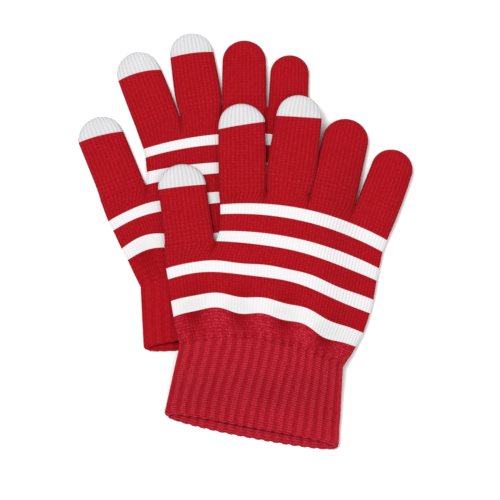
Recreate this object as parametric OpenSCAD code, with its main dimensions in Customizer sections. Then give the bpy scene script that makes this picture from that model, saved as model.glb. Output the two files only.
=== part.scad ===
// A pair of knitted touchscreen gloves, one lying across the other.
// Each glove is a flat tube of knitting that splits into a thumb and four fingers.
// Every change of yarn is a node of its own, and each finger is two or three nodes, parted at the
// knuckle where it bends.

/* [Knitting] */
// Thickness of one layer of knitting
wall = 1.6; // [1.2:0.1:1.8]
// Height of the palm and cuff lying flat
palm_thick = 10; // [9:0.5:12]
// Height of a finger lying flat
finger_thick = 9.5; // [8.5:0.5:11]
// Roundness of a section through the tube, where 2 is an ellipse and more is boxier
fullness = 2.8; // [2.2:0.1:3.4]
// How far down the lower half of a section goes before it is pressed flat, where 1 is all the way
flat_under = 0.9; // [0.8:0.05:0.95]

/* [Fingers] */
// Where a finger bends, as a share of its length from its root
knuckle = 0.45; // [0.42:0.01:0.5]
// Gap left between the two solids at a knuckle
knuckle_gap = 0.4; // [0.2:0.1:0.8]
// Length of a finger's rounded end, as a share of the finger's width
tip_share = 0.48; // [0.4:0.02:0.5]

/* [Cuff] */
// Height of the overlocked edge below the cuff
hem_h = 2.2; // [1.5:0.1:3]
// How far the hem stands out of the cuff's face
hem_proud = 0.4; // [0.2:0.1:0.6]
// Number of elastic threads laid inside the cuff
elastic_count = 5; // [3:1:7]
// Thickness of an elastic thread
elastic_thick = 0.6; // [0.4:0.1:0.8]
// How far the front of the mouth is set back, and its back set forward
mouth_slant = 3.5; // [0:0.5:4]
// Height of the mouth lying flat
mouth_thick = 9; // [8.5:0.5:10]

/* [Layout] */
// Turn of the glove on top
top_turn = -10; // [-12:1:-8]
// Turn of the glove underneath
under_turn = 6; // [4:1:8]
// Size of the glove underneath, which is less stretched
under_size = 0.95; // [0.93:0.01:0.96]
// Gap between the two gloves
stack_gap = 0.5; // [0.4:0.1:1]

/* [Hidden] */
red = "#ac1622";
white = "#f3f1f2";
pale_grey = "#e3e2e4";
rubber = "#ece8e2";

palm_sides = 36;
finger_sides = 20;

// A row is a knitted course across the flat glove: [left x, left y, right x, right y, bow].
// Its middle stands bow above the line between its ends. The thumb is on the left.
wrist_row = [-51, 44, 48, 47, 10];
gather_row = [-53, 51, 50.5, 54, 10];
stripe3_low = [-64.7, 81.3, 58, 82.2, 11];
stripe3_high = [-67, 87.4, 58.8, 90.7, 11];
thumb_row = [-71.2, 101, 58.6, 102.2, 10];
stripe2_high = [-39.7, 115, 58.7, 109.6, 6.2];
stripe1_low = [-40.8, 125, 59, 119.7, 7.1];
stripe1_high = [-41.8, 130.5, 60.5, 127, 7.8];

// Where the thumb and the fingers part, as shares of the way across their row.
thumb_share = 0.232;
crotches = [0, 0.258, 0.5, 0.763, 1];
root_names = ["index", "middle", "ring", "little"];

// A finger is [name, width / 2, turn, length, lift at the knuckle, lift at the tip].
// Each lift is [left, right], as a share of the height of the glove underneath.
// A glove is [origin x, origin y, turn, size, lies on the other, its own rows, fingers, arch]. Its own
// rows are where it is pulled about as it lies: its mouth, stripe 4's two edges and the fingers'
// roots. Its arch is how much of the bow of the other rows it keeps.
on_floor = [0, 0];
on_glove = [1, 1];
under = [
    -9.85, -64.01, under_turn, under_size, false,
    [
        [-53, 7.2, 53, 7.2, 0],
        [-57.5, 62, 54, 58, 7],
        [-60.6, 69.4, 56.3, 66, 8.5],
        [-43.1, 142.3, 66.1, 142.3, 8.5],
    ],
    [
        ["thumb", 15, 16.5, 50, on_floor, on_floor],
        ["index", 14.2, 15.3, 47, on_floor, on_floor],
        ["middle", 14, 2.8, 50, on_floor, on_floor],
        ["ring", 13.9, -6, 42.2, on_floor, on_floor],
        ["little", 12.3, -8.5, 34.5, on_floor, on_floor],
    ],
    0.9,
];
top = [
    3.7, -113.81, top_turn, 1, true,
    [
        [-53, 3.1, 53.6, 1.7, -0.9],
        [-57.5, 60, 54, 61.2, 10],
        [-60.6, 68.9, 56.3, 70, 10.8],
        [-43.5, 136, 63.2, 139, 8],
    ],
    [
        ["thumb", 14.4, 18, 46.6, on_glove, on_glove],
        ["index", 14.1, 10.8, 53, on_glove, on_glove],
        ["middle", 13.8, 1.6, 58.5, [1, 0.93], [1, 0.93]],
        ["ring", 13.8, -2.2, 49.3, [0.6, 0.03], [0.15, 0]],
        ["little", 12.5, -10.6, 40, [0.02, 0], on_floor],
    ],
    1,
];
knitted_in_tips = ["thumb", "index", "middle"];

// The glove on top comes down to the surface past the right side and the cuff of the one underneath.
stack_h = palm_thick * under_size + stack_gap;
side_edge = 38;
cuff_edge = -69.5;
drape_run = 34;

FINGER_PARTS = [
    for (name = ["thumb", "index", "middle", "ring", "little"], part = ["base", "end", "tip"])
        if (part != "tip" || search([name], knitted_in_tips) != [[]]) [name, part]
];
PARTS = [
    "hem", "cuff", "elastic", "heel_band", "stripe_4", "band_3", "stripe_3", "band_2", "stripe_2",
    "band_1", "stripe_1", "knuckle_band", for (f = FINGER_PARTS) str(f[0], "_", f[1]),
];

function mix(a, b, t) = a + (b - a) * t;
function smooth(t) = let(c = min(max(t, 0), 1)) c * c * (3 - 2 * c);
function power(v, e) = sign(v) * pow(abs(v), e);

// A point of a row, at share t of the way across.
function row_at(row, t) = [mix(row[0], row[2], t), mix(row[1], row[3], t) + 4 * row[4] * t * (1 - t)];
// The stretch of a row between shares a and b.
function sub_row(row, a, b) =
    let(p = row_at(row, a), q = row_at(row, b)) [p.x, p.y, q.x, q.y, row[4] * pow(b - a, 2)];
// A row moved along the glove by dy.
function shifted(row, dy) = [row[0], row[1] + dy, row[2], row[3] + dy, row[4]];
// A glove's own rows.
function mouth_row(glove) = glove[5][0];
function stripe4_low(glove) = glove[5][1];
function stripe4_high(glove) = glove[5][2];
function finger_row(glove) = glove[5][3];
// A row that both gloves share, with the glove's arch.
function arched(glove, row) = [row[0], row[1], row[2], row[3], row[4] * glove[7]];
function arched_rows(glove, rows) = [for (row = rows) arched(glove, row)];
function stripe2_low(glove) = sub_row(arched(glove, thumb_row), thumb_share, 1);
// The rows of the cuff, from its mouth to the wrist, one for each elastic thread between them.
function cuff_rows(glove) = [
    for (i = [0:elastic_count + 1])
        mix(mouth_row(glove), arched(glove, wrist_row), i / (elastic_count + 1))
];

// From a glove's own flat frame to the pair's frame.
function placed(glove, p) =
    let(turn = glove[2], size = glove[3])
    [
        glove[0] + size * (p.x * cos(turn) - p.y * sin(turn)),
        glove[1] + size * (p.x * sin(turn) + p.y * cos(turn)),
    ];
// How high a glove's underside lies at a place in the pair's frame.
function drape(glove, q) =
    let(past_side = (q.x - side_edge) / drape_run, past_cuff = (cuff_edge - q.y) / drape_run)
    glove[4] ? stack_h * (1 - smooth(past_side)) * (1 - smooth(past_cuff)) : 0;

// A closed loop of points round the tube at one row, from its left edge over the top, between the
// heights low and high. slant sets its top back and its underside forward, creases are the places
// across the row where it is pinched, and lifts stands in for the drape with one value at each end.
function loop(glove, row, low, high, sides, slant = 0, creases = [], lifts = []) =
    let(half = (high - low) / (1 + flat_under), middle = high - half) [
        for (k = [0:sides - 1])
            let(
                across = -power(cos(360 * k / sides), 2 / fullness),
                up = power(sin(360 * k / sides), 2 / fullness),
                t = 0.5 + across / 2,
                pinch = 1 - 0.6 * max([0, for (c = creases) exp(-pow((t - c) / 0.03, 2))]),
                z = middle + (max(middle + half * up, low) - middle) * pinch,
                q = placed(glove, row_at(row, t) + [0, slant * up]),
                base = lifts == [] ? drape(glove, q) : stack_h * mix(lifts[0], lifts[1], t)
            )
            [q.x, q.y, base + glove[3] * z]
    ];

// A row with its two ends drawn in by a length.
function drawn_in(row, by) =
    let(along = by / (row[2] - row[0])) sub_row(row, along, 1 - along);

// A wall between matching lists of outer and inner loops. Two apexes, outer and inner, close its far end.
module shell(outer, inner, apexes = []) {
    n = len(outer[0]);
    last = n * (len(outer) - 1);
    in_at = n * len(outer);
    function next(k) = (k + 1) % n;
    points = [for (o = outer) each o, for (i = inner) each i, each apexes];
    walls = [
        for (r = [0:n:last - n], k = [0:n - 1])
            let(a = r + k, b = r + next(k), c = b + n, d = a + n)
            each [[a, c, d], [a, b, c], [in_at + a, in_at + c, in_at + b], [in_at + a, in_at + d, in_at + c]],
    ];
    near_rim = [
        for (k = [0:n - 1])
            each [[k, in_at + next(k), next(k)], [k, in_at + k, in_at + next(k)]],
    ];
    far_end = [
        for (k = [0:n - 1])
            let(a = last + k, b = last + next(k))
            each apexes == []
                ? [[a, b, in_at + b], [a, in_at + b, in_at + a]]
                : [[a, b, 2 * in_at], [in_at + a, 2 * in_at + 1, in_at + b]],
    ];
    polyhedron(points, concat(walls, near_rim, far_end), convexity = 10);
}

// A stretch of the palm through a list of rows, with creases where the far row parts.
module band(glove, rows, sides = palm_sides, creases = []) {
    far = len(rows) - 1;
    function loops(in) = [
        for (i = [0:far])
            loop(
                glove, drawn_in(rows[i], in), in, palm_thick - in, sides,
                creases = i == far ? creases : []
            )
    ];
    shell(loops(0), loops(wall));
}

// The slant and the height of the cuff at one of its rows: it is slanted and flatter at its mouth.
function slant_at(i) = mouth_slant * (1 - i / (elastic_count + 1));
function thick_at(i) = mix(mouth_thick, palm_thick, smooth(2 * i / (elastic_count + 1)));

// The stretch of ribbed knitting between the mouth and the wrist.
module cuff(glove) {
    rows = cuff_rows(glove);
    function loops(in) = [
        for (i = [0:elastic_count + 1])
            loop(glove, drawn_in(rows[i], in), in, thick_at(i) - in, palm_sides, slant = slant_at(i))
    ];
    color(red) shell(loops(0), loops(wall));
}

// The overlocked edge, a rounded bead below the mouth.
module hem(glove) {
    bead = [[-1, 0], [-0.75, hem_proud], [-0.25, hem_proud], [0, 0]];
    function loops(in, out) = [
        for (b = bead)
            loop(
                glove, drawn_in(shifted(mouth_row(glove), b[0] * hem_h), in - out * b[1]),
                in, mouth_thick - in + out * b[1], palm_sides, slant = mouth_slant
            )
    ];
    color(red) shell(loops(0, 1), loops(wall, 0));
}

// An elastic thread laid against the inside of the cuff, along one of its rows.
module elastic_thread(glove, i) {
    outside = wall + 0.2;
    function loops(in) = [
        for (dy = [0, elastic_thick])
            loop(
                glove, drawn_in(shifted(cuff_rows(glove)[i], dy), in), in, thick_at(i) - in, palm_sides,
                slant = slant_at(i)
            )
    ];
    shell(loops(outside), loops(outside + elastic_thick));
}

// The row where a finger leaves the palm.
function root_row(glove, finger) =
    let(i = search([finger[0]], root_names)[0])
    finger[0] == "thumb"
        ? sub_row(arched(glove, thumb_row), 0, thumb_share)
        : sub_row(finger_row(glove), crotches[i], crotches[i + 1]);
// A straight section across a finger, at distance s from its root.
function cross_row(glove, finger, s, half) =
    let(
        root = row_at(root_row(glove, finger), 0.5),
        turn = finger[2],
        middle = root + s * [-sin(turn), cos(turn)],
        side = half * [cos(turn), sin(turn)]
    ) [middle.x - side.x, middle.y - side.y, middle.x + side.x, middle.y + side.y, 0];
// A finger's lifts at s: the palm's drape at its root, then its own at the knuckle and the tip.
function lifts_at(glove, finger, s) =
    let(
        share = s / finger[3],
        root = root_row(glove, finger),
        at_root = [for (t = [0, 1]) drape(glove, placed(glove, row_at(root, t))) / stack_h]
    )
    share < knuckle
        ? mix(at_root, finger[4], share / knuckle)
        : mix(finger[4], finger[5], (share - knuckle) / (1 - knuckle));
// A loop round a finger at s, half wide and tall from its middle.
function finger_loop(glove, finger, s, half, tall) =
    loop(
        glove, cross_row(glove, finger, s, half), finger_thick / 2 - tall, finger_thick / 2 + tall,
        finger_sides, lifts = lifts_at(glove, finger, s)
    );
function tube_loops(glove, finger, places, in) = [
    for (s = places) finger_loop(glove, finger, s, finger[1] - in, finger_thick / 2 - in)
];
// The point that closes a finger's end, on the outside or one wall in.
function apex(glove, finger, in) =
    let(
        s = finger[3] - in,
        lifts = lifts_at(glove, finger, s),
        q = placed(glove, row_at(cross_row(glove, finger, s, 1), 0.5))
    ) [q.x, q.y, stack_h * (lifts[0] + lifts[1]) / 2 + glove[3] * finger_thick / 2];

// Distances from a finger's root to its rounded end and to the two sides of its knuckle.
function tip_start(finger) = finger[3] - 2 * finger[1] * tip_share;
function base_end(finger) = finger[3] * knuckle - knuckle_gap / 2;
function end_start(finger) = finger[3] * knuckle + knuckle_gap / 2;

// A finger from its root to the knuckle.
module finger_base(glove, finger) {
    to = base_end(finger);
    function root_loop(in) =
        loop(glove, drawn_in(root_row(glove, finger), in), in, palm_thick - in, finger_sides);
    function loops(in) = [root_loop(in), each tube_loops(glove, finger, [to / 2, to], in)];
    shell(loops(0), loops(wall));
}

// The straight stretch of a finger between two distances from its root.
module finger_tube(glove, finger, from, to) {
    shell(tube_loops(glove, finger, [from, to], 0), tube_loops(glove, finger, [from, to], wall));
}

// The rounded, closed end of a finger, with the straight stretch before it from the distance from.
module finger_cap(glove, finger, from) {
    arch = tip_start(finger);
    steps = [25, 45, 62, 77];
    function round_loop(a, in) =
        finger_loop(
            glove, finger, arch + (finger[3] - arch - in) * sin(a),
            (finger[1] - in) * cos(a), (finger_thick / 2 - in) * sqrt(cos(a))
        );
    function loops(in) = [
        each tube_loops(glove, finger, from < arch ? [from, arch] : [arch], in),
        for (a = steps) round_loop(a, in)
    ];
    shell(loops(0), loops(wall), [apex(glove, finger, 0), apex(glove, finger, wall)]);
}

// One of a finger's nodes: its base, its end beyond the knuckle, or its touchscreen tip.
module finger_part(glove, name, part) {
    finger = [for (f = glove[6]) if (f[0] == name) f][0];
    has_tip = search([name], knitted_in_tips) != [[]];
    if (part == "base") color(red) finger_base(glove, finger);
    if (part == "end" && has_tip) color(red) finger_tube(glove, finger, end_start(finger), tip_start(finger));
    if (part == "end" && !has_tip) color(red) finger_cap(glove, finger, end_start(finger));
    if (part == "tip") color(pale_grey) finger_cap(glove, finger, tip_start(finger));
}

module heel_band(glove) {
    color(red) band(glove, [each arched_rows(glove, [wrist_row, gather_row]), stripe4_low(glove)]);
}
module stripe_4(glove) color(white) band(glove, [stripe4_low(glove), stripe4_high(glove)]);
module band_3(glove) color(red) band(glove, [stripe4_high(glove), arched(glove, stripe3_low)]);
module stripe_3(glove) color(white) band(glove, arched_rows(glove, [stripe3_low, stripe3_high]));
module band_2(glove) {
    color(red) band(glove, arched_rows(glove, [stripe3_high, thumb_row]), creases = [thumb_share]);
}
module stripe_2(glove) color(white) band(glove, [stripe2_low(glove), arched(glove, stripe2_high)]);
module band_1(glove) color(red) band(glove, arched_rows(glove, [stripe2_high, stripe1_low]));
module stripe_1(glove) color(white) band(glove, arched_rows(glove, [stripe1_low, stripe1_high]));
module knuckle_band(glove) {
    between_fingers = [crotches[1], crotches[2], crotches[3]];
    rows = [arched(glove, stripe1_high), finger_row(glove)];
    color(red) band(glove, rows, sides = 2 * palm_sides, creases = between_fingers);
}
module elastic(glove) color(rubber) for (i = [1:elastic_count]) elastic_thread(glove, i);

module glove_part(glove, part) {
    if (part == "hem") hem(glove);
    if (part == "cuff") cuff(glove);
    if (part == "elastic") elastic(glove);
    if (part == "heel_band") heel_band(glove);
    if (part == "stripe_4") stripe_4(glove);
    if (part == "band_3") band_3(glove);
    if (part == "stripe_3") stripe_3(glove);
    if (part == "band_2") band_2(glove);
    if (part == "stripe_2") stripe_2(glove);
    if (part == "band_1") band_1(glove);
    if (part == "stripe_1") stripe_1(glove);
    if (part == "knuckle_band") knuckle_band(glove);
    for (f = FINGER_PARTS) if (part == str(f[0], "_", f[1])) finger_part(glove, f[0], f[1]);
}

for (part = PARTS) {
    glove_part(under, part);
    glove_part(top, part);
}
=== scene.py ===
import math
from collections import namedtuple

import bpy
import numpy as np
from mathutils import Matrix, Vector


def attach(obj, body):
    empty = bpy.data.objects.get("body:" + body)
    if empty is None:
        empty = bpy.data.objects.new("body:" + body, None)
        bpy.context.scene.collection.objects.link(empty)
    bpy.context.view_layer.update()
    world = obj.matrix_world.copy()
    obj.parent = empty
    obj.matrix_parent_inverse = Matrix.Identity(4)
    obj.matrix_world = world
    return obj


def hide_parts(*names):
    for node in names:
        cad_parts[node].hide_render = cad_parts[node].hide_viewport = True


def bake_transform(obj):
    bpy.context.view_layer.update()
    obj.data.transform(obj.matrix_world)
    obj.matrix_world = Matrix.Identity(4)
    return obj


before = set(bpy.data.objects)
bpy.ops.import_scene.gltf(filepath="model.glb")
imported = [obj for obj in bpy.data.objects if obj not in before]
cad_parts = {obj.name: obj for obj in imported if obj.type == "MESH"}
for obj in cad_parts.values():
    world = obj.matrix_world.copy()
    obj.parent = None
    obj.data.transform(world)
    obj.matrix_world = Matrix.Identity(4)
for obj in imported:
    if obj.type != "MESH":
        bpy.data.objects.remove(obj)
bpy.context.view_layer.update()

# Lengths are in millimetres, in a glove's own flat frame, until placed() and make_mesh() bring them
# into the row frame's metres. The thumb is on the left and the fingers point along +Y.
MM = 0.001

# The shell of each tube of knitting, as in the CAD model
WALL = 1.6
PALM_THICK = 10
MOUTH_THICK = 9
FINGER_THICK = 9.5
FULLNESS = 2.8
FLAT_UNDER = 0.9
HEM_HEIGHT = 2.2
ELASTIC_COUNT = 5
MOUTH_SLANT = 3.5

# The hem is rolled over in this many rows, and is this much narrower on each side at its lowest
HEM_ROWS = 13
HEM_CORNER = 2.5

# A finger's knuckle as a share of its length, and its rounded end's length as a share of its width
KNUCKLE = 0.45
TIP_SHARE = 0.48

# The widths of tube that the points of each outline are spaced evenly for
FINGER_OUTLINE = 27
THUMB_OUTLINE = 29
BESIDE_THUMB_OUTLINE = 100
PALM_OUTLINE = 101
CUFF_OUTLINE = 104
WIDE_OUTLINE = 120
OUTLINE_STEPS = 720

# The knitting: a wale is a column of stitches and a course is a row of them
COURSE = 1.6
FINGER_WALES = 13
RIB_DEPTH = 0.38
STITCH_DEPTH = 0.035
WALE_SAMPLES = 6
COURSE_SAMPLES = 4
CAP_ROWS = 34
CUFF_RIBS = 37
CUFF_WALES_PER_RIB = 3
CUFF_RIB_DEPTH = 1.1
CUFF_DRIFT = 0.04
STITCHES_ON_RIBS = 0.5
VEE_LEAN = 0.45

# The stitches fade out over this many rows at the closed end of a finger
FADE_ROWS = 4

# How fine the yarn's fibres, its painted glints and its mottling are, in bumps a metre
FIBRE_SCALE = 1500
GLINT_SCALE = 900
MOTTLE_SCALE = 60

# How much painted shade darkens the grooves, and how much the fibres and the mottling vary the yarn's tone
GROOVE_SHADE = 0.7
FIBRE_TONE = 0.6
MOTTLE_TONE = 0.5

# The inside of the cuff ripples against its face by this share, and lies this much further in. The
# face's ribs keep the hem's share of their depth where the hem ends inside.
LINING_SHARE = 0.3
LINING_GAP = 0.3
HEM_RIB_SHARE = 0.3
HEM_COURSES = 1.2

# How much painted shade the ribs and folds get for how deep they are, on the face and on the inside of the
# cuff
FOLD_SHADE = 0.6
LINING_SHADE = 0.5

# The knitting doesn't lie quite flat: how far it swings either way, and about how far apart
UNEVEN_SWING = 0.22
UNEVEN_SPAN = 22

# The palm puckers above the gathered cuff, this many times across and this deep
PUCKERS = 4.2
PUCKER_PHASE = 2
PUCKER_DEPTH = 2.1

# The camera looks straight down and takes in this width of the floor
VIEW_CENTRE = (3.12, -4.92)
VIEW_WIDTH = 300
VIEW_HEIGHT = 1500
SENSOR_WIDTH = 36


# ---- Courses across the flat glove ----

# A course across the flat glove runs between its two ends, with its middle bow higher. It also
# wanders by wave from side to side, and ripples by pucker where the gathered cuff draws it in.
Row = namedtuple("Row", "x0 y0 x1 y1 bow wave pucker", defaults=(0, 0, 0))


def pucker_wave(t):
    """Where the gathered palm rises and dips, from 1 to -1, at a share of the way across."""
    return np.sin(2 * np.pi * PUCKERS * t + PUCKER_PHASE)


def course_line(row, arch=1):
    """The points of a course as a function of the share across, with its bow scaled by arch."""
    def line(t):
        t = np.asarray(t, float)
        sway = np.sin(2 * np.pi * t) + 0.7 * np.sin(4 * np.pi * t)
        ripple = pucker_wave(t) * np.sqrt(np.sin(np.pi * t).clip(0))
        x = row.x0 + (row.x1 - row.x0) * t
        y = row.y0 + (row.y1 - row.y0) * t + 4 * arch * row.bow * t * (1 - t)
        return np.stack([x, y + row.wave * sway + row.pucker * ripple], axis=-1)
    return line


def part_of(line, a, b):
    return lambda t: line(a + (b - a) * np.asarray(t, float))


def between(line_a, line_b, f):
    return lambda t: (1 - f) * line_a(t) + f * line_b(t)


def shifted(line, dy):
    return lambda t: line(t) + np.array([0, dy])


ROWS = {
    "wrist": Row(-51, 44, 48, 47, 10),
    "stripe3_low": Row(-64.7, 81.4, 58, 82.3, 11.2, 1.2),
    "stripe3_high": Row(-67, 87.4, 58.8, 90.6, 11, 1.2, 0.3),
    "thumb_row": Row(-70.5, 101, 58.6, 102.2, 10, 0.4),
    "stripe2_high": Row(-39.7, 115, 58.7, 109.6, 6.2),
    "stripe1_low": Row(-40.8, 125, 59, 119.7, 7.1),
    "stripe1_high": Row(-41.8, 130.5, 60.5, 127, 7.8),
}
THUMB_SHARE = 0.232
CROTCHES = [0, 0.258, 0.5, 0.763, 1]
FINGER_NAMES = ["index", "middle", "ring", "little"]

# A finger's turn is in degrees and its lengths in millimetres: swell is how much wider its lower half
# is on each side, and seam_lift, seam_tilt (degrees) and seam_bow shape the edge of its tip. Its lifts
# are (left, right) shares of the height of the glove underneath, at the knuckle and at the tip.
Finger = namedtuple(
    "Finger", "name half turn length swell seam_lift seam_tilt seam_bow knuckle_lift tip_lift"
)
# A glove's arch is how much of the bow of the shared courses it keeps, and its rib_share how deep its
# ribs and puckers are.
Glove = namedtuple("Glove", "name origin turn size on_top arch rib_share own_rows fingers")
FLAT = (0, 0)
RAISED = (1, 1)
UNDER = Glove(
    "under", (-9.85, -64.01), 6, 0.95, False, 0.9, 0.35,
    {
        "mouth": Row(-53, 7.2, 53, 7.2, 0),
        "stripe4_low": Row(-57.5, 62, 54, 58, 4, 3),
        "stripe4_high": Row(-60.6, 69.4, 56.3, 66, 5.5, 3.4),
        "stripe2_high": Row(-39.7, 116, 58.7, 109.6, 4.2),
        "stripe1_low": Row(-39.6, 125, 59, 119.7, 6),
        "stripe1_high": Row(-40.2, 130.5, 60.5, 127, 5.9),
        "finger_row": Row(-43.1, 142.3, 66.1, 142.3, 8.5),
    },
    [
        Finger("thumb", 14.7, 16.2, 50, 0.2, 1.1, -7.8, 1, FLAT, FLAT),
        Finger("index", 14.3, 15.3, 47, 0.3, -1.4, -6.4, 1.8, FLAT, FLAT),
        Finger("middle", 14.1, 2.8, 50, 0.7, -0.4, -1, 0.95, FLAT, FLAT),
        Finger("ring", 14, -6, 42.2, 0.3, 0, 0, 0, FLAT, FLAT),
        Finger("little", 12.4, -8.5, 34.5, 0.3, 0, 0, 0, FLAT, FLAT),
    ],
)
TOP = Glove(
    "top", (3.7, -113.81), -10, 1, True, 1, 1,
    {
        "mouth": Row(-53, 3.1, 53.6, 1.7, -0.9),
        "stripe4_low": Row(-57.5, 60, 54, 61.1, 10.2, 1.8, 1),
        "stripe4_high": Row(-60.6, 68.9, 56.3, 70, 10.8, 1.3, 0.7),
        "finger_row": Row(-43.5, 136, 63.2, 139, 8),
    },
    [
        Finger("thumb", 14.4, 18, 46.6, 0.2, 0, -1.7, 0.3, RAISED, RAISED),
        Finger("index", 14.1, 10.8, 53, 0.4, 0.3, 8.3, 0.2, RAISED, RAISED),
        Finger("middle", 13.8, 1.8, 58.5, 1.1, 0, 4.7, 0, (1, 0.93), (1, 0.93)),
        Finger("ring", 13.9, -2.2, 49.3, 0.3, 0, 0, 0, (0.6, 0.03), (0.15, 0)),
        Finger("little", 12.7, -10.6, 40, 0.4, 0, 0, 0, (0.02, 0), FLAT),
    ],
)
KNITTED_IN_TIPS = ("thumb", "index", "middle")

# The top glove lies on the other one, and comes down past its side and past its cuff over a run
GLOVE_GAP = 0.5
STACK = PALM_THICK * UNDER.size + GLOVE_GAP
SIDE_EDGE = 38
CUFF_EDGE = -69.5
DRAPE_RUN = 34


def line_of(glove, name):
    """One of a glove's courses, by name."""
    if name == "stripe2_low":
        return part_of(line_of(glove, "thumb_row"), THUMB_SHARE, 1)
    if name in glove.own_rows:
        return course_line(glove.own_rows[name])
    return course_line(ROWS[name], glove.arch)


def smooth(t):
    t = np.clip(t, 0, 1)
    return t * t * (3 - 2 * t)


def mix(a, b, t):
    return a + (b - a) * t


def placed(glove, xy):
    """Points of a glove's flat frame, in the pair's frame."""
    turn = math.radians(glove.turn)
    x = glove.origin[0] + glove.size * (xy[..., 0] * math.cos(turn) - xy[..., 1] * math.sin(turn))
    y = glove.origin[1] + glove.size * (xy[..., 0] * math.sin(turn) + xy[..., 1] * math.cos(turn))
    return x, y


def drape(glove, x, y):
    """How high a glove's underside lies: the top one comes down past the other's side and cuff."""
    if not glove.on_top:
        return np.zeros_like(x)
    return STACK * (1 - smooth((x - SIDE_EDGE) / DRAPE_RUN)) * (1 - smooth((CUFF_EDGE - y) / DRAPE_RUN))


# ---- Sections round a tube ----

def half_profile(width, thick, steps):
    """Points along the top of a section, evenly spaced by length: places from -1 to 1 and heights."""
    angle = np.linspace(0, np.pi, OUTLINE_STEPS + 1)
    across = -np.sign(np.cos(angle)) * np.abs(np.cos(angle)) ** (2 / FULLNESS)
    up = np.sin(angle) ** (2 / FULLNESS)
    length = np.hypot(np.diff(across) * width / 2, np.diff(up) * thick / 2)
    length = np.concatenate([[0], np.cumsum(length)])
    even = np.linspace(0, length[-1], steps + 1)
    return np.interp(even, length, across), np.interp(even, length, up)


def profile(lobes):
    """The closed outline of a row, split into lobes of (start share, end share, samples, width).

    Gives each point's share across and its height from -1 to 1, over the top from the left and
    back below."""
    top_t, top_up = [], []
    for start, end, samples, width in lobes:
        across, up = half_profile(width, PALM_THICK, samples)
        top_t.append(mix(start, end, (across[:-1] + 1) / 2))
        top_up.append(up[:-1])
    last = lobes[-1][1]
    top_t, top_up = np.concatenate(top_t), np.concatenate(top_up)
    below_t = np.concatenate([[last], top_t[:0:-1]])
    below_up = np.concatenate([[0], -top_up[:0:-1]])
    return np.concatenate([top_t, below_t]), np.concatenate([top_up, below_up])


def loop_points(glove, row, outline, thick, inset=0, slant=0, base=None, narrow=0):
    """The points of one closed row, in the pair's frame. base stands in for the drape."""
    t, up = outline
    low, high = inset, thick - inset
    half = (high - low) / (1 + FLAT_UNDER)
    width = np.linalg.norm(row(1) - row(0))
    t = 0.5 + (t - 0.5) * (1 - 2 * (inset + narrow) / width)
    flat = row(t)
    flat[:, 1] += slant * up
    x, y = placed(glove, flat)
    z = np.maximum(high - half + half * up, low)
    if base is None:
        base = drape(glove, x, y)
    return np.stack([x, y, base + glove.size * z], axis=-1)


# ---- Relief of the knitting ----

def stitch_relief(wale, course):
    """Depth of the stitches, 0 or below: a groove between wales, and a V of yarn for each stitch."""
    groove = np.abs(2 * (wale % 1) - 1)
    rib = -RIB_DEPTH * groove ** 2.5
    vee = STITCH_DEPTH * (np.cos(2 * np.pi * (course + VEE_LEAN * groove)) - 1) / 2
    return rib + vee * (1 - groove ** 2)


def soft_noise(x, y, span, seed):
    """Smooth unevenness from -1 to 1, its bumps about span across."""
    rng = np.random.default_rng(seed)
    total = np.zeros_like(x)
    for _ in range(6):
        heading, phase = rng.uniform(0, 2 * np.pi, 2)
        pitch = span * rng.uniform(0.7, 1.6)
        total += np.sin(2 * np.pi * (x * math.cos(heading) + y * math.sin(heading)) / pitch + phase)
    return total / 6


def unevenness(points):
    """Shallow hollows and swellings of the knitting as it lies, 0 or below."""
    return UNEVEN_SWING * (soft_noise(points[..., 0], points[..., 1], UNEVEN_SPAN, seed=3) - 1)


def folded(around):
    """A share of the way around the tube as a share across it, the same on the front and the back."""
    return 1 - np.abs(1 - 2 * around)


def rib_relief(glove, around, points):
    """Depth of the cuff's ribs, 0 on a crest and negative in a groove, uneven in place and depth."""
    x, y = points[..., 0], points[..., 1]
    sway = 0.07 * soft_noise(x, y, 16, seed=11)
    fullness = 0.85 + 0.2 * soft_noise(x, y, 21, seed=12)
    phase = folded(around) * CUFF_RIBS / 2 + sway
    groove = (0.5 - 0.5 * np.cos(2 * np.pi * phase)) ** 1.7
    return -CUFF_RIB_DEPTH * glove.rib_share * groove * fullness


def pucker_relief(around):
    """Soft folds in the palm above the gathered cuff, from 0 down to -1."""
    return -((1 - pucker_wave(folded(around))) / 2) ** 1.5


def pushed(points, relief):
    """A grid of points, closed along each row, moved along its normals and kept above the floor."""
    along = np.roll(points, -1, axis=1) - np.roll(points, 1, axis=1)
    up = np.gradient(points, axis=0)
    normal = np.cross(along, up)
    size = np.linalg.norm(normal, axis=-1, keepdims=True)
    moved = points + normal / np.maximum(size, 1e-9) * relief[..., None]
    moved[..., 2] = np.maximum(moved[..., 2], 0)
    return moved


# ---- Meshes ----

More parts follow.
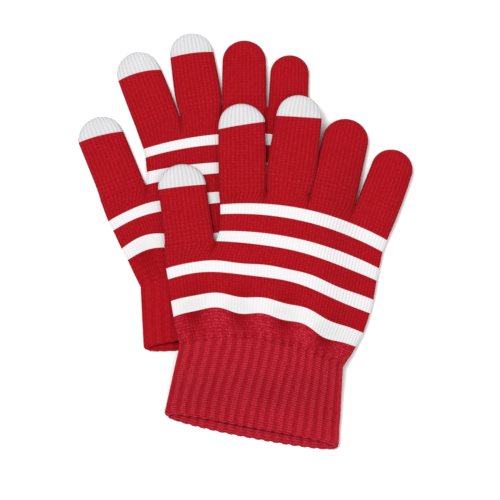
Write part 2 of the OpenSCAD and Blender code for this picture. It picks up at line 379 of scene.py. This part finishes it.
class Knit:
    """The grids of one piece, gathered before they become a mesh."""

    def __init__(self, name, material):
        self.name = name
        self.material = material
        self.grids = []

    def add(self, points, wales, courses, depth, inside=False):
        """A grid of points closed along each row, its wale and course numbers and its painted shade."""
        self.grids.append((points, wales, courses, depth, inside))

    def build(self):
        corners, faces, uvs, painted_shades = [], [], [], []
        start = 0
        for points, wales, courses, depth, inside in self.grids:
            rows, cols = points.shape[:2]
            j, i = np.meshgrid(np.arange(rows - 1), np.arange(cols), indexing="ij")
            right = (i + 1) % cols
            row, next_row = j * cols, (j + 1) * cols
            quad = np.stack([row + i, row + right, next_row + right, next_row + i], -1)
            u = np.stack([i, i + 1, i + 1, i], -1) * wales / cols
            v = np.stack([courses[j], courses[j], courses[j + 1], courses[j + 1]], -1)
            if inside:
                quad, u, v = quad[..., ::-1], u[..., ::-1], v[..., ::-1]
            corners.append(points.reshape(-1, 3))
            painted_shades.append(depth.reshape(-1))
            faces.append(quad.reshape(-1, 4) + start)
            uvs.append(np.stack([u, v], -1).reshape(-1, 2))
            start += rows * cols
        return make_mesh(
            self.name, self.material, np.concatenate(corners), np.concatenate(faces),
            np.concatenate(uvs), np.concatenate(painted_shades),
        )


def make_mesh(name, material, corners, faces, uvs, painted_shades):
    mesh = bpy.data.meshes.new(name)
    mesh.vertices.add(len(corners))
    mesh.vertices.foreach_set("co", (corners * MM).astype(np.float32).ravel())
    mesh.loops.add(faces.size)
    mesh.loops.foreach_set("vertex_index", faces.astype(np.int32).ravel())
    mesh.polygons.add(len(faces))
    mesh.polygons.foreach_set("loop_start", np.arange(0, faces.size, 4, dtype=np.int32))
    layer = mesh.uv_layers.new(name="stitches")
    layer.data.foreach_set("uv", uvs.astype(np.float32).ravel())
    # How much painted shade each point gets, which the yarn material reads
    depth = mesh.attributes.new("depth", "FLOAT", "POINT")
    depth.data.foreach_set("value", painted_shades.astype(np.float32))
    mesh.update(calc_edges=True)
    mesh.shade_smooth()
    mesh.materials.append(material)
    obj = bpy.data.objects.new(name, mesh)
    bpy.context.scene.collection.objects.link(obj)
    return obj


# ---- Palm, cuff and hem ----

def row_count(line_a, line_b, glove):
    length = np.abs(line_b(0.5)[1] - line_a(0.5)[1]) * glove.size
    return max(3, int(round(length / COURSE * COURSE_SAMPLES)) + 1)


def single(wales, samples, width):
    return profile([(0, 1, wales * samples, width)])


def finger_lobes(samples):
    return profile([
        (CROTCHES[k], CROTCHES[k + 1], FINGER_WALES * samples, FINGER_OUTLINE) for k in range(4)
    ])


def thumb_lobes(samples):
    return profile([
        (0, THUMB_SHARE, FINGER_WALES * samples, THUMB_OUTLINE),
        (THUMB_SHARE, 1, 4 * FINGER_WALES * samples, BESIDE_THUMB_OUTLINE),
    ])


def blended(a, b, f):
    return tuple(mix(p, q, f) for p, q in zip(a, b))


def drifted(outline, drift):
    """An outline with its middle moved across by a share of its width, and its edges left alone."""
    t, up = outline
    return t + drift * np.sin(np.pi * t), up


def cuff_thick(share):
    """The cuff's height lying flat, at a share of the way from its mouth to the wrist."""
    return mix(MOUTH_THICK, PALM_THICK, smooth(2 * share))


def band_grid(glove, line_a, line_b, near, far, rows, inset, slants=(0, 0), drifts=(0, 0), thick=None):
    """The loops from line_a to line_b, whose outline goes from near to far."""
    return np.stack([
        loop_points(
            glove, between(line_a, line_b, f),
            drifted(blended(near, far, smooth(f)), mix(drifts[0], drifts[1], smooth(f))),
            thick(f) if thick else PALM_THICK, inset, mix(slants[0], slants[1], f),
        )
        for f in np.linspace(0, 1, rows)
    ])


def numbers(glove, line_a, line_b, rows, cols, wales):
    """The course number of each row, and grids of wale and course numbers."""
    courses = np.linspace(line_a(0.5)[1], line_b(0.5)[1], rows) * glove.size / COURSE
    wale = np.arange(cols) * wales / cols
    return courses, np.tile(wale, (rows, 1)), np.tile(courses[:, None], (1, cols))


# A stretch of the palm: its name, its yarn, the courses that it lies between, its outlines at both of
# them, its wales on each side, the share of the ribs' depth that reaches into it, and the share of
# the puckers and of the drift at both its ends.
Band = namedtuple("Band", "name slot near far near_outline far_outline wales ribs puckers drift")


def palm_folds(glove, part, points):
    """Depth of the ribs that run on from the cuff, and of the puckers, over a stretch of the palm."""
    rows, cols = points.shape[:2]
    around = np.arange(cols) / cols
    share = np.linspace(0, 1, rows)[:, None]
    ribs = rib_relief(glove, around, points) * part.ribs * (1 - smooth(1.5 * share))
    puckers = PUCKER_DEPTH * pucker_relief(around) * mix(part.puckers[0], part.puckers[1], smooth(share))
    return ribs + glove.rib_share * puckers


def band(glove, part, material):
    """A stretch of the palm, outside and inside."""
    piece = Knit(f"{glove.name}_{part.name}_knit", material)
    line_a, line_b = line_of(glove, part.near), line_of(glove, part.far)
    rows = row_count(line_a, line_b, glove)
    wales = 2 * part.wales
    layers = ((False, WALE_SAMPLES, rows, 0), (True, 2, max(3, rows // 3), WALL))
    for inside, samples, count, inset in layers:
        grid = band_grid(
            glove, line_a, line_b, part.near_outline(samples), part.far_outline(samples), count, inset,
            drifts=[CUFF_DRIFT * share for share in part.drift],
        )
        folds = palm_folds(glove, part, grid)
        lie = folds + unevenness(grid)
        courses, wale, course = numbers(glove, line_a, line_b, count, grid.shape[1], wales)
        if inside:
            # The inside gets even painted shade, as dark as a groove
            depth = np.full(grid.shape[:2], RIB_DEPTH)
            piece.add(pushed(grid, lie), wales, courses, depth, inside=True)
        else:
            at_ribs = mix(1, STITCHES_ON_RIBS, part.ribs)
            on_ribs = mix(at_ribs, 1, smooth(np.linspace(0, 1, count)))[:, None]
            stitches = stitch_relief(wale, course) * on_ribs
            # Painted shade in the grooves between the wales and in the ribs and puckers
            piece.add(pushed(grid, stitches + lie), wales, courses, -stitches - FOLD_SHADE * folds)
    return piece.build()


def cuff(glove, material):
    """The ribbed cuff, outside and inside."""
    piece = Knit(f"{glove.name}_cuff_knit", material)
    wales = CUFF_RIBS * CUFF_WALES_PER_RIB
    line_a, line_b = line_of(glove, "mouth"), line_of(glove, "wrist")
    rows = row_count(line_a, line_b, glove)
    for inside, samples, count, inset in ((False, WALE_SAMPLES, rows, 0), (True, 3, rows // 2, WALL)):
        outline = even_outline(wales * samples, CUFF_OUTLINE)
        grid = band_grid(
            glove, line_a, line_b, outline, outline, count, inset,
            slants=(MOUTH_SLANT, 0), drifts=(0, CUFF_DRIFT), thick=cuff_thick,
        )
        courses, wale, course = numbers(glove, line_a, line_b, count, grid.shape[1], wales)
        ribs = rib_relief(glove, wale / wales, grid)
        stitches = STITCHES_ON_RIBS * stitch_relief(wale, course)
        if inside:
            lining = -LINING_SHARE * ribs - LINING_SHARE * stitches - LINING_GAP
            # The lining gets painted shade in its ribs' grooves
            piece.add(pushed(grid, lining), wales, courses, -LINING_SHADE * ribs, inside=True)
        else:
            # Painted shade in the ribs' grooves and between the wales
            piece.add(pushed(grid, ribs + stitches), wales, courses, -FOLD_SHADE * ribs - stitches)
    return piece.build()


def even_outline(samples, width):
    """A single-lobe outline with samples points around it in all, which may be odd a side."""
    t, up = profile([(0, 1, OUTLINE_STEPS, width)])
    x = np.concatenate([t, [t[0]]]) * width
    z = np.concatenate([up, [up[0]]]) * PALM_THICK / 2
    length = np.concatenate([[0], np.cumsum(np.hypot(np.diff(x), np.diff(z)))])
    even = np.arange(samples) * length[-1] / samples
    return np.interp(even, length, x / width), np.interp(even, length, z * 2 / PALM_THICK)


def hem(glove, material):
    """The overlocked edge, rolled from the cuff's face round to its inside."""
    piece = Knit(f"{glove.name}_hem_knit", material)
    wales = CUFF_RIBS * CUFF_WALES_PER_RIB
    outline = even_outline(wales * WALE_SAMPLES, CUFF_OUTLINE)
    mouth = line_of(glove, "mouth")
    turns = np.linspace(0, np.pi, HEM_ROWS)
    points = np.stack([
        loop_points(
            glove, shifted(mouth, -HEM_HEIGHT * math.sin(a)), outline, MOUTH_THICK,
            WALL / 2 * (1 - math.cos(a)), MOUTH_SLANT, narrow=HEM_CORNER * math.sin(a) ** 3,
        )
        for a in turns
    ])
    rows, cols = points.shape[:2]
    wale = np.tile(np.arange(cols) * wales / cols, (rows, 1))
    courses = (mouth(0.5)[1] * glove.size - np.sin(turns) * HEM_HEIGHT) / COURSE
    ribs = rib_relief(glove, wale / wales, points) * mix(1.0, HEM_RIB_SHARE, turns / np.pi)[:, None]
    stitches = STITCHES_ON_RIBS * stitch_relief(wale, np.tile(turns[:, None] * HEM_COURSES, (1, cols)))
    relief = ribs + stitches
    # Painted shade in the ribs' grooves and between the wales, as on the cuff
    depth = -FOLD_SHADE * ribs - stitches
    piece.add(pushed(points[::-1], relief[::-1]), wales, courses[::-1], depth[::-1])
    return piece.build()


def elastic(glove, material):
    """Loops of covered elastic thread against the inside of the cuff."""
    piece = Knit(f"{glove.name}_elastic_threads", material)
    radius, gap = 0.3, 0.25
    samples = 360
    turns = np.linspace(0, 2 * np.pi, 9)
    outline = even_outline(samples, CUFF_OUTLINE)
    for k in range(1, ELASTIC_COUNT + 1):
        share = k / (ELASTIC_COUNT + 1)
        line = between(line_of(glove, "mouth"), line_of(glove, "wrist"), share)
        points = np.stack([
            loop_points(
                glove, shifted(line, radius * (1 + math.sin(a))), outline, cuff_thick(share),
                WALL + gap + radius * (1 - math.cos(a)), MOUTH_SLANT * (1 - share),
            )
            for a in turns
        ])
        piece.add(points, samples, turns / (2 * np.pi), np.zeros(points.shape[:2]))
    return piece.build()


# ---- Fingers ----

def root_line(glove, finger):
    if finger.name == "thumb":
        return part_of(line_of(glove, "thumb_row"), 0, THUMB_SHARE)
    k = FINGER_NAMES.index(finger.name)
    return part_of(line_of(glove, "finger_row"), CROTCHES[k], CROTCHES[k + 1])


def finger_axis(glove, finger):
    """The middle of a finger's root, the direction along it and the one across it."""
    turn = math.radians(finger.turn)
    root = root_line(glove, finger)(0.5)
    return root, np.array([-math.sin(turn), math.cos(turn)]), np.array([math.cos(turn), math.sin(turn)])


def tip_start(finger):
    return finger.length - 2 * finger.half * TIP_SHARE


def seam_offset(finger, c):
    """How far the edge of the tip lies beyond a straight one, at places from -1 to 1 across."""
    bowed = finger.seam_lift + finger.seam_bow * (1 - c ** 2)
    return bowed + finger.half * math.tan(math.radians(finger.seam_tilt)) * c


def cross_line(glove, finger, s, seam_share):
    """A section across a finger at s from its root, which takes on the shape of the tip's edge."""
    root, along, sideways = finger_axis(glove, finger)
    half = finger.half + finger.swell * math.sin(np.pi * (s / tip_start(finger)) ** 0.7)

    def line(t):
        c = (2 * np.asarray(t, float) - 1)[..., None]
        return root + half * c * sideways + (s + seam_share * seam_offset(finger, c)) * along
    return line


def lift_at(glove, finger, s, t):
    """The underside's height across a finger at s: linear from its left edge to its right one."""
    ends = root_line(glove, finger)(np.array([0.0, 1.0]))
    at_root = drape(glove, *placed(glove, ends)) / STACK
    share = s / finger.length
    if share < KNUCKLE:
        left, right = (mix(at_root[i], finger.knuckle_lift[i], share / KNUCKLE) for i in (0, 1))
    else:
        beyond = (share - KNUCKLE) / (1 - KNUCKLE)
        left, right = (mix(finger.knuckle_lift[i], finger.tip_lift[i], beyond) for i in (0, 1))
    return STACK * mix(left, right, t)


def tube_grid(glove, finger, places):
    """Loops round a finger at distances from its root, which leave the palm's shape for its own."""
    easing = 12
    outline = single(FINGER_WALES, WALE_SAMPLES, FINGER_OUTLINE)
    loops = []
    for s in places:
        own = float(smooth(s / easing))
        seam_share = float(smooth(1 - (places[-1] - s) / easing))
        line = between(root_line(glove, finger), cross_line(glove, finger, s, seam_share), own)
        x, y = placed(glove, line(outline[0]))
        base = mix(drape(glove, x, y), lift_at(glove, finger, s, outline[0]), own)
        loops.append(loop_points(glove, line, outline, mix(PALM_THICK, FINGER_THICK, own), base=base))
    return np.stack(loops)


def cap_points(glove, finger, rows):
    """The rounded end of a finger: its wales run on until they meet the arched seam over its end."""
    closing = 0.16
    start = tip_start(finger)
    reach = finger.length - start
    root, along, sideways = finger_axis(glove, finger)
    half_thick = FINGER_THICK / (1 + FLAT_UNDER)
    t, up = single(FINGER_WALES, WALE_SAMPLES, FINGER_OUTLINE)
    c = 2 * t - 1
    side = np.where(up < 0, -1, 1)
    loops = []
    for f in np.sin(np.linspace(0, np.pi / 2, rows)):
        across = c * (1 - closing * f ** 2)
        rise = reach * np.sqrt(1 - across ** 2) * f ** np.sqrt(np.clip(1 - c ** 2, 0, 1))
        onward = start + rise + (1 - f) * seam_offset(finger, c)
        radius = np.clip(np.hypot(across, rise / reach), 0, 1)
        dome = (1 - radius ** FULLNESS) ** (1 / FULLNESS) if f < 1 else np.zeros_like(c)
        x, y = placed(glove, root + onward[:, None] * along + (finger.half * across)[:, None] * sideways)
        z = np.maximum(FINGER_THICK - half_thick + half_thick * dome * side, 0)
        base = lift_at(glove, finger, float(np.mean(onward)), (across + 1) / 2)
        loops.append(np.stack([x, y, base + glove.size * z], axis=-1))
    return np.stack(loops)


def finger_numbers(glove, finger, lengths, cols):
    """The course number of each row, and grids of wale and course numbers."""
    courses = (root_line(glove, finger)(0.5)[1] + lengths) * glove.size / COURSE
    wale = np.arange(cols) * 2 * FINGER_WALES / cols
    return courses, np.tile(wale, (len(lengths), 1)), np.tile(courses[:, None], (1, cols))


def cap_lengths(finger, rows):
    start = tip_start(finger)
    return start + (finger.length - start) * np.sin(np.linspace(0, np.pi / 2, rows))


def finger_knit(glove, finger, name, material, lengths, points, closed):
    """A finger's grid of points as a piece, with its relief fading at a closed end."""
    courses, wale, course = finger_numbers(glove, finger, lengths, points.shape[1])
    stitches = stitch_relief(wale, course)
    if closed:
        rows_left = len(lengths) - 1 - np.arange(len(lengths))
        stitches = stitches * np.clip(rows_left / FADE_ROWS, 0, 1)[:, None]
    piece = Knit(name, material)
    # Painted shade in the grooves between the wales
    piece.add(pushed(points, stitches + unevenness(points)), 2 * FINGER_WALES, courses, -stitches)
    return piece.build()


def finger_piece(glove, finger, material):
    """The red part of a finger, from the palm to its tip yarn or to its rounded end."""
    closed = finger.name not in KNITTED_IN_TIPS
    to = tip_start(finger)
    lengths = np.linspace(0, to, int(to * glove.size / COURSE * COURSE_SAMPLES) + 1)
    points = tube_grid(glove, finger, lengths)
    if closed:
        lengths = np.concatenate([lengths, cap_lengths(finger, CAP_ROWS)[1:]])
        points = np.concatenate([points, cap_points(glove, finger, CAP_ROWS)[1:]])
    name = f"{glove.name}_{finger.name}_knit"
    return finger_knit(glove, finger, name, material, lengths, points, closed)


def tip_piece(glove, finger, material):
    """The conductive end of a finger."""
    lengths, points = cap_lengths(finger, CAP_ROWS), cap_points(glove, finger, CAP_ROWS)
    name = f"{glove.name}_{finger.name}_tip_knit"
    return finger_knit(glove, finger, name, material, lengths, points, True)


# ---- Materials ----

class Nodes:
    """A material's node tree, with one short call for each kind of node."""

    def __init__(self, name):
        self.material = bpy.data.materials.new(name)
        self.material.use_nodes = True
        self.tree = self.material.node_tree
        self.shader = self.tree.nodes["Principled BSDF"]

    def put(self, value, socket):
        if isinstance(value, bpy.types.NodeSocket):
            self.tree.links.new(value, socket)
        elif value is not None:
            socket.default_value = value

    def math(self, operation, a, b=None, c=None):
        node = self.tree.nodes.new("ShaderNodeMath")
        node.operation = operation
        for socket, value in zip(node.inputs, (a, b, c)):
            self.put(value, socket)
        return node.outputs[0]

    def mix(self, factor, a, b):
        node = self.tree.nodes.new("ShaderNodeMix")
        node.data_type = "RGBA"
        self.put(factor, node.inputs["Factor"])
        self.put(a, node.inputs["A"])
        self.put(b, node.inputs["B"])
        return node.outputs["Result"]

    def noise(self, scale, detail):
        place = self.tree.nodes.new("ShaderNodeTexCoord")
        node = self.tree.nodes.new("ShaderNodeTexNoise")
        self.tree.links.new(place.outputs["Object"], node.inputs["Vector"])
        node.inputs["Scale"].default_value = scale
        node.inputs["Detail"].default_value = detail
        return node.outputs["Fac"]

    def attribute(self, name):
        node = self.tree.nodes.new("ShaderNodeAttribute")
        node.attribute_name = name
        return node.outputs["Fac"]

    def stitch_place(self):
        """The wale and course numbers, from the piece's stitch map."""
        place = self.tree.nodes.new("ShaderNodeUVMap")
        place.uv_map = "stitches"
        split = self.tree.nodes.new("ShaderNodeSeparateXYZ")
        self.tree.links.new(place.outputs["UV"], split.inputs[0])
        return split.outputs["X"], split.outputs["Y"]

    def ramp(self, value, low, high):
        node = self.tree.nodes.new("ShaderNodeMapRange")
        self.put(value, node.inputs["Value"])
        node.inputs["From Min"].default_value = low
        node.inputs["From Max"].default_value = high
        return node.outputs["Result"]

    def bump(self, height, distance, strength):
        node = self.tree.nodes.new("ShaderNodeBump")
        self.put(height, node.inputs["Height"])
        node.inputs["Distance"].default_value = distance
        node.inputs["Strength"].default_value = strength
        self.tree.links.new(node.outputs["Normal"], self.shader.inputs["Normal"])


def yarn(name, face, shade, glint, glint_share, groove_at=0.5, vee_shade=0.05, glint_vee=0.25):
    """Knitted yarn: face is its colour on the crests, shade its painted shade down in the grooves, and
    glint its painted highlight in specks on the crests.

    groove_at is how much painted shade makes a full groove, the vee share is the painted shade between
    the stitches' Vs, and glint_vee is how closely the painted glints follow the stitches."""
    n = Nodes(name)
    wale, course = n.stitch_place()
    groove = n.math("ABSOLUTE", n.math("MULTIPLY_ADD", n.math("FRACT", wale), 2, -1))
    lean = n.math("MULTIPLY_ADD", groove, VEE_LEAN, course)
    vee = n.math("MULTIPLY_ADD", n.math("COSINE", n.math("MULTIPLY", lean, 2 * math.pi)), 0.5, 0.5)
    fibres = n.noise(FIBRE_SCALE, 4)
    specks = n.noise(GLINT_SCALE, 2)
    mottle = n.noise(MOTTLE_SCALE, 3)
    n.bump(n.math("MULTIPLY_ADD", fibres, 0.7, n.math("MULTIPLY", vee, 0.3)), 0.0002, 0.5)
    # Painted shade: towards the shade colour where the mesh marks grooves, folds and the inside
    depth = n.ramp(n.attribute("depth"), 0.02, groove_at)
    shade_and_mottle = n.math("MULTIPLY", depth, GROOVE_SHADE)
    # Painted shade in the gaps between the stitches' Vs
    shade_and_mottle = n.math("ADD", shade_and_mottle, n.math("MULTIPLY", n.math("SUBTRACT", 1, vee), vee_shade))
    shade_and_mottle = n.math("ADD", shade_and_mottle, n.math("MULTIPLY_ADD", fibres, FIBRE_TONE, -FIBRE_TONE / 2))
    shade_and_mottle = n.math("ADD", shade_and_mottle, n.math("MULTIPLY_ADD", mottle, MOTTLE_TONE, -MOTTLE_TONE / 2))
    yarn_colour = n.mix(n.ramp(shade_and_mottle, 0, 1), (*face, 1), (*shade, 1))
    on_crest = n.math("SUBTRACT", 1, depth)
    # Painted highlight: specks of glint colour on the crests, following the stitches
    crest_glints = n.math("MULTIPLY", n.ramp(n.math("MULTIPLY_ADD", vee, glint_vee, specks), 0.62, 0.85), on_crest)
    n.put(
        n.mix(n.math("MULTIPLY", crest_glints, glint_share), yarn_colour, (*glint, 1)),
        n.shader.inputs["Base Color"],
    )
    n.shader.inputs["Roughness"].default_value = 0.92
    n.shader.inputs["Specular IOR Level"].default_value = 0.05
    n.shader.inputs["Sheen Weight"].default_value = 0.02
    n.shader.inputs["Sheen Roughness"].default_value = 0.5
    return n.material


def paper(name, colour):
    """A pale, faintly mottled floor."""
    n = Nodes(name)
    mottle = n.noise(30, 2)
    n.put(n.mix(mottle, (*colour, 1), (*[0.995 * v for v in colour], 1)), n.shader.inputs["Base Color"])
    n.shader.inputs["Roughness"].default_value = 1.0
    return n.material


# Each yarn: its own colour, its painted shade colour, and its painted highlight colour and share
MATERIALS = {
    "red_yarn": yarn("red_yarn_knit", (0.315, 0.0035, 0.0085), (0.2, 0.001, 0.003), (0.45, 0.03, 0.05), 0.25),
    "red_gather": yarn(
        "red_gathered_knit", (0.325, 0.004, 0.01), (0.17, 0.001, 0.003), (0.52, 0.055, 0.105), 0.6,
        groove_at=1.0,
    ),
    "red_rib": yarn(
        "red_rib_knit", (0.318, 0.003, 0.008), (0.21, 0.001, 0.003), (0.52, 0.055, 0.105), 0.4,
        groove_at=0.9, vee_shade=0.18, glint_vee=0.45,
    ),
    "white_yarn": yarn("white_yarn_knit", (0.65, 0.635, 0.64), (0.59, 0.585, 0.59), (0.68, 0.67, 0.675), 0.3),
    "grey_yarn": yarn("grey_yarn_knit", (0.56, 0.555, 0.565), (0.37, 0.38, 0.39), (0.64, 0.63, 0.64), 0.3),
    "elastic_thread": yarn(
        "elastic_thread_cover", (0.6, 0.57, 0.53), (0.45, 0.42, 0.38), (0.65, 0.62, 0.58), 0.2,
    ),
}


# ---- Putting the gloves together ----

def stands_for(obj, body, slot, *nodes):
    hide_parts(*nodes)
    if body:
        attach(obj, body)


def bend_finger(obj):
    """Bakes the finger's transform into its mesh; the knitting is not bent at the knuckle."""
    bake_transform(obj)


def wide(samples):
    return single(5 * FINGER_WALES, samples, WIDE_OUTLINE)


def palm(samples):
    return single(4 * FINGER_WALES, samples, PALM_OUTLINE)


FIVE = 5 * FINGER_WALES
FOUR = 4 * FINGER_WALES
NONE = (0, 0)
BANDS = [
    Band("heel_band", "red_yarn", "wrist", "stripe4_low", wide, wide, FIVE, 1, (0.2, 0.8), (1, 0)),
    Band("stripe_4", "white_yarn", "stripe4_low", "stripe4_high", wide, wide, FIVE, 0, (0.8, 0.15), NONE),
    Band("band_3", "red_yarn", "stripe4_high", "stripe3_low", wide, wide, FIVE, 0, (0.15, 0), NONE),
    Band("stripe_3", "white_yarn", "stripe3_low", "stripe3_high", wide, wide, FIVE, 0, NONE, NONE),
    Band("band_2", "red_yarn", "stripe3_high", "thumb_row", wide, thumb_lobes, FIVE, 0, NONE, NONE),
    Band("stripe_2", "white_yarn", "stripe2_low", "stripe2_high", palm, palm, FOUR, 0, NONE, NONE),
    Band("band_1", "red_yarn", "stripe2_high", "stripe1_low", palm, palm, FOUR, 0, NONE, NONE),
    Band("stripe_1", "white_yarn", "stripe1_low", "stripe1_high", palm, palm, FOUR, 0, NONE, NONE),
    Band("knuckle_band", "red_yarn", "stripe1_high", "finger_row", palm, finger_lobes, FOUR, 0, NONE, NONE),
]


def knit_glove(glove):
    body = f"{glove.name}_glove"
    stretched = glove.rib_share == 1
    for part in BANDS:
        material = MATERIALS["red_gather" if part.name == "heel_band" and stretched else part.slot]
        stands_for(band(glove, part, material), body, part.slot, f"{glove.name}_{part.name}")
    ribbed = MATERIALS["red_rib" if stretched else "red_yarn"]
    stands_for(cuff(glove, ribbed), body, "red_rib", f"{glove.name}_cuff")
    stands_for(hem(glove, ribbed), body, "red_rib", f"{glove.name}_hem")
    stands_for(elastic(glove, MATERIALS["elastic_thread"]), body, "elastic_thread", f"{glove.name}_elastic")
    for finger in glove.fingers:
        start = f"{glove.name}_{finger.name}"
        obj = finger_piece(glove, finger, MATERIALS["red_yarn"])
        stands_for(obj, None, "red_yarn", f"{start}_base", f"{start}_end")
        bend_finger(obj)
        if finger.name in KNITTED_IN_TIPS:
            tip = tip_piece(glove, finger, MATERIALS["grey_yarn"])
            stands_for(tip, start, "grey_yarn", f"{start}_tip")


# ---- Stage ----

def add_floor():
    reach = 3
    mesh = bpy.data.meshes.new("floor")
    corners = [(-reach, -reach, 0), (reach, -reach, 0), (reach, reach, 0), (-reach, reach, 0)]
    mesh.from_pydata(corners, [], [(0, 1, 2, 3)])
    mesh.materials.append(paper("floor_paper", (0.93, 0.93, 0.93)))
    floor = bpy.data.objects.new("floor", mesh)
    bpy.context.scene.collection.objects.link(floor)


def add_light(name, place, size, power):
    data = bpy.data.lights.new(name, "AREA")
    data.shape = "SQUARE"
    data.size = size
    data.energy = power
    light = bpy.data.objects.new(name, data)
    light.location = place
    light.rotation_euler = (-Vector(place)).to_track_quat("-Z", "Y").to_euler()
    bpy.context.scene.collection.objects.link(light)


def add_camera():
    data = bpy.data.cameras.new("camera")
    camera = bpy.data.objects.new("camera", data)
    camera.location = (VIEW_CENTRE[0] * MM, VIEW_CENTRE[1] * MM, VIEW_HEIGHT * MM)
    data.sensor_width = SENSOR_WIDTH
    data.lens = SENSOR_WIDTH * VIEW_HEIGHT / VIEW_WIDTH
    bpy.context.scene.collection.objects.link(camera)
    bpy.context.scene.camera = camera


def light_scene():
    world = bpy.data.worlds.new("studio")
    world.use_nodes = True
    background = world.node_tree.nodes["Background"]
    background.inputs["Color"].default_value = (1, 1, 1, 1)
    background.inputs["Strength"].default_value = 0.5
    bpy.context.scene.world = world
    bpy.context.scene.view_settings.view_transform = "Standard"
    add_light("key", (-0.3, 0.3, 1.4), 0.45, 16)
    add_light("fill", (0.35, -0.2, 1.4), 0.6, 6)


add_camera()
light_scene()
add_floor()
for pair_glove in (UNDER, TOP):
    knit_glove(pair_glove)
